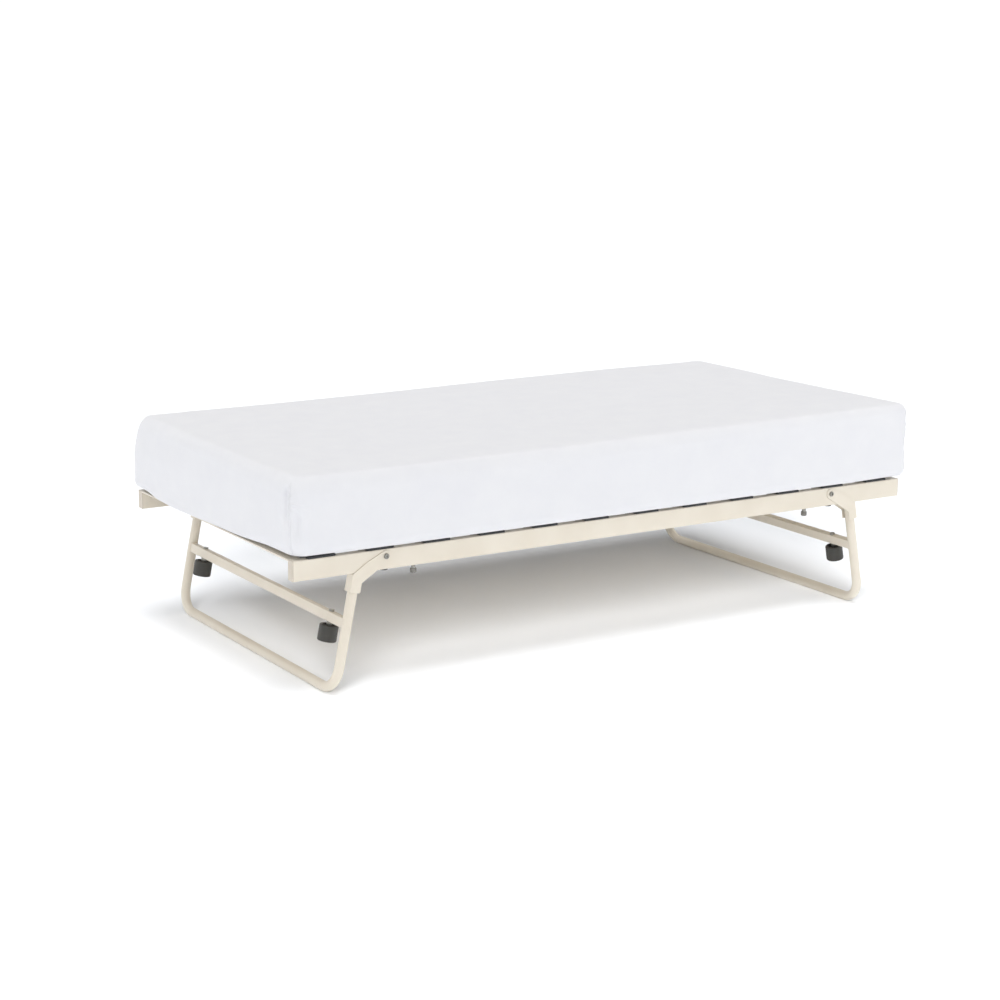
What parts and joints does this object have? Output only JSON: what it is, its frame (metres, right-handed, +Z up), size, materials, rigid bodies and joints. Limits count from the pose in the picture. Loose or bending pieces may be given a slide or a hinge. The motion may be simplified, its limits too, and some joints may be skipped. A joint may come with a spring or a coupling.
{
  "type": "rollaway bed",
  "caption": "Low guest bed: steel frame with slats in plastic holders, U-shaped tube legs that fold in under it, barrel rollers and a loose mattress in a fitted sheet.",
  "frame": {"origin": "on the floor, under the middle of the bed", "axes": "+X along the bed, +Y across it, +Z up; the near side is -Y and the left end is -X"},
  "size_m": [1.936, 0.96, 0.56],
  "materials": {
    "stone_paint": "semi-gloss stone-coloured powder coat",
    "cap_plastic": "satin, moulded in the frame's colour",
    "holder_plastic": "matt black moulding",
    "slat_wood": "birch ply, thin clear lacquer",
    "roller_plastic": "matt dark grey moulding",
    "buffer_rubber": "matt grey rubber",
    "zinc_steel": "bright zinc plate",
    "mattress_ticking": "white woven ticking",
    "white_cotton": "white brushed cotton sheet"
  },
  "bodies": {
    "bed_frame": {"end_rail_left": "stone_paint", "end_rail_right": "stone_paint", "hole_plugs": "holder_plastic", "pivot_bolts": "zinc_steel", "pivot_nuts": "zinc_steel", "pivot_washers": "zinc_steel", "rail_cap_left_far": "cap_plastic", "rail_cap_left_near": "cap_plastic", "rail_cap_right_far": "cap_plastic", "rail_cap_right_near": "cap_plastic", "side_rail_far": "stone_paint", "side_rail_near": "stone_paint", "slat_01": "slat_wood", "slat_02": "slat_wood", "slat_03": "slat_wood", "slat_04": "slat_wood", "slat_05": "slat_wood", "slat_06": "slat_wood", "slat_07": "slat_wood", "slat_08": "slat_wood", "slat_09": "slat_wood", "slat_10": "slat_wood", "slat_11": "slat_wood", "slat_12": "slat_wood", "slat_holders_far": "holder_plastic", "slat_holders_near": "holder_plastic", "stop_buffers": "buffer_rubber", "stop_screws": "zinc_steel"},
    "left_leg": {"leg_tube_left": "stone_paint", "crossbar_left": "stone_paint", "leg_bracket_left_near": "stone_paint", "leg_bracket_left_far": "stone_paint", "roller_bolts_left": "zinc_steel", "roller_spacers_left": "zinc_steel", "roller_nuts_left": "zinc_steel"},
    "right_leg": {"leg_tube_right": "stone_paint", "crossbar_right": "stone_paint", "leg_bracket_right_near": "stone_paint", "leg_bracket_right_far": "stone_paint", "roller_bolts_right": "zinc_steel", "roller_spacers_right": "zinc_steel", "roller_nuts_right": "zinc_steel"},
    "left_near_roller": {"roller_left_near": "roller_plastic"},
    "left_far_roller": {"roller_left_far": "roller_plastic"},
    "right_near_roller": {"roller_right_near": "roller_plastic"},
    "right_far_roller": {"roller_right_far": "roller_plastic"},
    "mattress": {"mattress_core": "mattress_ticking", "fitted_sheet": "white_cotton"}
  },
  "joints": [
    {"name": "left_leg_fold", "type": "hinge", "parent": "bed_frame", "child": "left_leg", "pos_m": [-0.7044, 0, 0.338], "axis": [0, -1, 0], "range_deg": [0, 101.3]},
    {"name": "right_leg_fold", "type": "hinge", "parent": "bed_frame", "child": "right_leg", "pos_m": [0.7044, 0, 0.338], "axis": [0, 1, 0], "range_deg": [0, 101.3]},
    {"name": "left_near_roller_spin", "type": "hinge", "parent": "left_leg", "child": "left_near_roller", "pos_m": [-0.81334, -0.365, 0.13831], "axis": [-0.1961, 0, -0.9806], "continuous": true},
    {"name": "left_far_roller_spin", "type": "hinge", "parent": "left_leg", "child": "left_far_roller", "pos_m": [-0.81334, 0.365, 0.13831], "axis": [-0.1961, 0, -0.9806], "continuous": true},
    {"name": "right_near_roller_spin", "type": "hinge", "parent": "right_leg", "child": "right_near_roller", "pos_m": [0.81334, -0.365, 0.13831], "axis": [0.1961, 0, -0.9806], "continuous": true},
    {"name": "right_far_roller_spin", "type": "hinge", "parent": "right_leg", "child": "right_far_roller", "pos_m": [0.81334, 0.365, 0.13831], "axis": [0.1961, 0, -0.9806], "continuous": true},
    {"name": "mattress_lift", "type": "slide", "parent": "bed_frame", "child": "mattress", "axis": [0, 0, 1], "range_m": [0, 0.25]}
  ]
}
